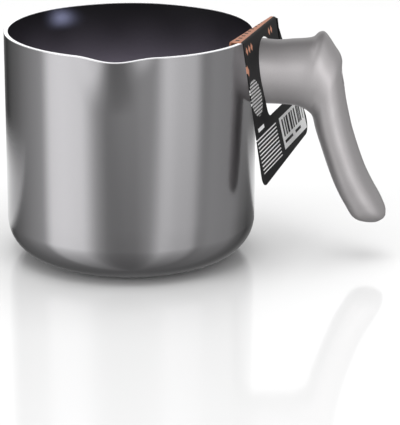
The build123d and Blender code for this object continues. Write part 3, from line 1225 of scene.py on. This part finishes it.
# %% The ring of soft boxes
brightest = 2.5
ring_of_light = (
    (-180, 0.30),
    (-150, 0.05),
    (-122, 0.30),
    (-100, 0.62),
    (-86, 0.80),
    (-76, 2.05),
    (-62, 2.15),
    (-43, 2.00),
    (-30, 0.85),
    (-20, 0.45),
    (-10, 0.38),
    (6, 0.42),
    (18, 0.72),
    (28, 1.50),
    (42, 1.16),
    (57, 1.10),
    (65, 0.50),
    (77, 0.67),
    (105, 0.56),
    (120, 0.25),
    (138, 0.08),
    (180, 0.30),
)
# How far the ring gives way to a dim grey, by the upward part of a direction, from -1 to 1.
dim = 0.23
dimmed = (
    (-1.0, 0.95),
    (-0.82, 0.72),
    (-0.62, 0.50),
    (-0.47, 0.32),
    (-0.31, 0.0),
    (0.5, 0.0),
    (0.95, 1.0),
)
# The ring is turned by lean_degrees where a direction has passed lean_rise upwards and lean_side to
# the right. Both fills and the white wall behind start and end softly between their two numbers.
lean_degrees = 7.0
lean_rise = (-0.34, -0.24)
lean_side = (0.15, 0.45)
front_fill = 0.3
front_fill_start = (0.9, 0.98)
right_fill = 0.3
right_fill_start = (0.4, 0.6)
right_fill_end = (0.95, 0.85)
wall_behind = (-0.5, -0.85)
wall_foot = (-0.08, 0.1)


def fill_ramp(ramp, stops, scale=1.0):
    """Give a colour ramp its stops, as positions and grey levels."""
    while len(ramp.elements) < len(stops):
        ramp.elements.new(0.5)
    for element, (position, level) in zip(ramp.elements, stops):
        element.position = position
        element.color = (level * scale, level * scale, level * scale, 1)


def build_world():
    """The studio as seen in reflections, and white for the camera."""
    world = bpy.data.worlds.new("studio")
    bpy.context.scene.world = world
    world.use_nodes = True
    tree = world.node_tree
    tree.nodes.clear()
    direction = add_node(tree, "ShaderNodeTexCoord").outputs["Generated"]
    to_camera = Vector((sin(camera_azimuth), -cos(camera_azimuth), 0))
    parts = []
    for axis in (camera_right, to_camera):
        inputs = {0: direction, 1: axis}
        part = add_node(tree, "ShaderNodeVectorMath", inputs, operation="DOT_PRODUCT")
        parts.append(part.outputs["Value"])
    side, front = parts
    angle = add_node(tree, "ShaderNodeMath", {0: side, 1: front}, operation="ARCTAN2")
    up = add_node(tree, "ShaderNodeSeparateXYZ", {0: direction}).outputs["Z"]

    soft_steps = {
        "raised": (up, lean_rise, 1.0),
        "on_right": (side, lean_side, radians(lean_degrees)),
        "ahead": (front, front_fill_start, front_fill),
        "beside": (side, right_fill_start, right_fill),
        "before_edge": (side, right_fill_end, 1.0),
        "behind": (front, wall_behind, 1.0),
        "above_foot": (up, wall_foot, 1.0),
    }
    soft = {}
    for name, (value, (start, end), reach) in soft_steps.items():
        inputs = {"Value": value, "From Min": start, "From Max": end, "To Max": reach}
        step = add_node(tree, "ShaderNodeMapRange", inputs, interpolation_type="SMOOTHSTEP")
        soft[name] = step.outputs[0]

    inputs = {0: soft["raised"], 1: soft["on_right"]}
    lean = add_node(tree, "ShaderNodeMath", inputs, operation="MULTIPLY")
    inputs = {0: angle.outputs[0], 1: lean.outputs[0]}
    leaning = add_node(tree, "ShaderNodeMath", inputs, operation="SUBTRACT")
    inputs = {"Value": leaning.outputs[0], "From Min": -pi, "From Max": pi}
    share = add_node(tree, "ShaderNodeMapRange", inputs)
    ring = add_node(tree, "ShaderNodeValToRGB", {0: share.outputs[0]})
    stops = [((degrees_right + 180) / 360, level) for degrees_right, level in ring_of_light]
    fill_ramp(ring.color_ramp, stops, 1 / brightest)
    lift = add_node(tree, "ShaderNodeMapRange", {"Value": up, "From Min": -1.0, "From Max": 1.0})
    height = add_node(tree, "ShaderNodeValToRGB", {0: lift.outputs[0]})
    fill_ramp(height.color_ramp, [((sine + 1) / 2, share_dim) for sine, share_dim in dimmed])
    dim_grey = (*[dim / brightest] * 3, 1)
    inputs = {"Factor": height.outputs["Color"], "A": ring.outputs["Color"], "B": dim_grey}
    levelled = add_node(tree, "ShaderNodeMix", inputs, data_type="RGBA")
    inputs = {0: levelled.outputs["Result"], "Scale": brightest}
    scaled = add_node(tree, "ShaderNodeVectorMath", inputs, operation="SCALE")

    inputs = {0: soft["beside"], 1: soft["before_edge"]}
    beside = add_node(tree, "ShaderNodeMath", inputs, operation="MULTIPLY")
    inputs = {0: soft["ahead"], 1: beside.outputs[0]}
    fills = add_node(tree, "ShaderNodeMath", inputs, operation="ADD")
    inputs = {0: soft["raised"], 1: fills.outputs[0]}
    filled = add_node(tree, "ShaderNodeMath", inputs, operation="MULTIPLY")
    inputs = {0: scaled.outputs[0], 1: filled.outputs[0]}
    filling = add_node(tree, "ShaderNodeVectorMath", inputs, operation="ADD")
    inputs = {0: soft["behind"], 1: soft["above_foot"]}
    wall = add_node(tree, "ShaderNodeMath", inputs, operation="MULTIPLY")
    path = add_node(tree, "ShaderNodeLightPath")
    colour = filling.outputs[0]
    for whitened in (wall.outputs[0], path.outputs["Is Camera Ray"]):
        inputs = {"Factor": whitened, "A": colour, "B": (1, 1, 1, 1)}
        colour = add_node(tree, "ShaderNodeMix", inputs, data_type="RGBA").outputs["Result"]
    background = add_node(tree, "ShaderNodeBackground", {"Color": colour, "Strength": 1.0})
    add_node(tree, "ShaderNodeOutputWorld", {"Surface": background.outputs[0]})


build_world()

# %% [markdown]
# ## The floor
# The pan stands on a white glossy table, whose gloss weakens away from the pan. Round the pan's
# foot the table's white is painted darker, as a painted shadow. Reflections show the table only
# under the pan and in a sector behind it. Elsewhere they show the studio, as they would over a
# narrow table.

# %% Make the table
floor_radius = 4.0
floor_drop = 0.05 * MM
floor_corners = 96
near_fade = (46 * MM, 52 * MM)
# Between these distances from the axis the table's white is painted darker, as a painted shadow.
painted_shadow_fade = (40 * MM, 70 * MM)
far_fade = (150 * MM, 290 * MM)
gloss_fade = (60 * MM, 400 * MM)
gloss_levels = (0.8, 0.3)
sector_slope = 0.75
sector_fade = (0.0, 25 * MM)


def white_table(tree, shader):
    """Fade the table's gloss outwards, paint a shadow round the pan, hide the far table from
    reflections.
    """
    place = add_node(tree, "ShaderNodeTexCoord").outputs["Object"]
    split = add_node(tree, "ShaderNodeSeparateXYZ", {0: place})
    radius = add_node(tree, "ShaderNodeVectorMath", {0: place}, operation="LENGTH")
    reach = radius.outputs["Value"]
    inputs = {"Value": reach, "From Min": gloss_fade[0], "From Max": gloss_fade[1]}
    inputs |= {"To Min": gloss_levels[0], "To Max": gloss_levels[1]}
    gloss = add_node(tree, "ShaderNodeMapRange", inputs)
    tree.links.new(gloss.outputs[0], shader.inputs["Specular IOR Level"])

    fades = []
    for start, end in (painted_shadow_fade, near_fade, far_fade):
        inputs = {"Value": reach, "From Min": end, "From Max": start}
        step = add_node(tree, "ShaderNodeMapRange", inputs, interpolation_type="SMOOTHSTEP")
        fades.append(step.outputs[0])
    shade, near, far = fades
    # Painted shadow: the table's white turns to c4c4c4 towards the pan's foot.
    inputs = {"Factor": shade, "A": srgb("f8f8f8"), "B": srgb("c4c4c4")}
    tone = add_node(tree, "ShaderNodeMix", inputs, data_type="RGBA")
    tree.links.new(tone.outputs["Result"], shader.inputs["Base Color"])

    value = split.outputs["X"]
    for operation, amount in (("MAXIMUM", 0.0), ("MULTIPLY", sector_slope)):
        inputs = {0: value, 1: amount}
        value = add_node(tree, "ShaderNodeMath", inputs, operation=operation).outputs[0]
    inputs = {0: split.outputs["Y"], 1: value}
    turned = add_node(tree, "ShaderNodeMath", inputs, operation="SUBTRACT")
    inputs = {"Value": turned.outputs[0], "From Min": sector_fade[0], "From Max": sector_fade[1]}
    back = add_node(tree, "ShaderNodeMapRange", inputs, interpolation_type="SMOOTHSTEP")
    behind = add_node(tree, "ShaderNodeMath", {0: far, 1: back.outputs[0]}, operation="MULTIPLY")
    inputs = {0: near, 1: behind.outputs[0]}
    mirrored = add_node(tree, "ShaderNodeMath", inputs, operation="MAXIMUM")
    inputs = {0: 1.0, 1: mirrored.outputs[0]}
    hidden = add_node(tree, "ShaderNodeMath", inputs, operation="SUBTRACT")
    path = add_node(tree, "ShaderNodeLightPath")
    inputs = {0: path.outputs["Is Glossy Ray"], 1: hidden.outputs[0]}
    gone = add_node(tree, "ShaderNodeMath", inputs, operation="MULTIPLY")
    clear = add_node(tree, "ShaderNodeBsdfTransparent")
    inputs = {0: gone.outputs[0], 1: shader.outputs[0], 2: clear.outputs[0]}
    surface = add_node(tree, "ShaderNodeMixShader", inputs)
    tree.links.new(surface.outputs[0], tree.nodes["Material Output"].inputs["Surface"])


def make_floor():
    """A wide white disc under the pan."""
    angles = [2 * pi * index / floor_corners for index in range(floor_corners)]
    points = [
        (floor_radius * cos(angle), floor_radius * sin(angle), -floor_drop) for angle in angles
    ]
    mesh = bpy.data.meshes.new("floor")
    mesh.from_pydata(points, [], [tuple(range(floor_corners))])
    item = bpy.data.objects.new("floor", mesh)
    bpy.context.scene.collection.objects.link(item)
    material, tree, shader = new_material(
        "white_table", {"Base Color": srgb("f8f8f8"), "Roughness": 0.08}
    )
    white_table(tree, shader)
    mesh.materials.append(material)
    print("floor radius", floor_radius, "m")
    return item


floor = make_floor()

# %% [markdown]
# ## Lamps
# Each lamp lights only the piece it is meant for. The table's lamp gives the soft shadow, a front
# lamp models the silky handle, and a rear one brightens the bare rim. Six small lamps in a fan
# inside the pan, and a weak bluish one, shade the lining as the photograph shows it from the front.
# Seen from above, the six show as a pale band, so another view would want softer ones.

# %% Hang the lamps
def hang_lamp(name, place, aim, size, energy, receivers, colour=(1, 1, 1), spread=180):
    """A soft lamp at a place, aimed at a point, that lights only these pieces. Lengths in mm."""
    data = bpy.data.lights.new(name, "AREA")
    data.shape = "RECTANGLE"
    data.size = size[0] * MM
    data.size_y = size[1] * MM
    data.energy = energy
    data.color = colour
    data.spread = radians(spread)
    item = bpy.data.objects.new(name, data)
    place = Vector(place) * MM
    turned = (Vector(aim) * MM - place).to_track_quat("-Z", "Y").to_matrix().to_4x4()
    item.matrix_world = Matrix.Translation(place) @ turned
    item.visible_camera = False
    bpy.context.scene.collection.objects.link(item)
    group = bpy.data.collections.new(name + "_lights")
    for receiver in receivers:
        group.objects.link(receiver)
    item.light_linking.receiver_collection = group
    print(name, energy, "W")
    return item


lining_lamp_ring = 14
lining_lamp_height = 58
lining_lamp_turns = range(-75, 76, 30)
table_lamp = hang_lamp(
    "table_lamp",
    place=(30, 50, 1200),
    aim=(30, 50, 0),
    size=(1200, 1200),
    energy=10.3,
    receivers=[floor],
)
table_lamp.visible_glossy = False
hang_lamp(
    "handle_lamp",
    place=(260, -800, 60),
    aim=(125, 0, 45),
    size=(300, 300),
    energy=3.1,
    receivers=[handle],
)
hang_lamp(
    "rim_lamp",
    place=(-60, 1200, 500),
    aim=(0, 0, 109),
    size=(1800, 500),
    energy=1.2,
    receivers=[vessel],
)
for turn in lining_lamp_turns:
    outward = Vector((sin(radians(turn)), cos(radians(turn)), 0))
    place = outward * lining_lamp_ring + Vector((0, 0, lining_lamp_height))
    lining_lamp = hang_lamp(
        f"lining_lamp_{turn}",
        place=place,
        aim=place + outward,
        size=(16, 6),
        energy=0.1,
        receivers=[lining],
        colour=(1.0, 0.95, 1.0),
        spread=105,
    )
    lining_lamp.visible_glossy = False
hang_lamp(
    "lining_highlight",
    place=(19, 29, 91),
    aim=(-39.6, 42.4, 104),
    size=(14, 3),
    energy=0.00016,
    receivers=[lining],
    colour=(0.6, 0.64, 1.0),
    spread=11,
)

# Neither the pan nor the table in the photograph mirrors the tag.
card_tag.visible_glossy = False
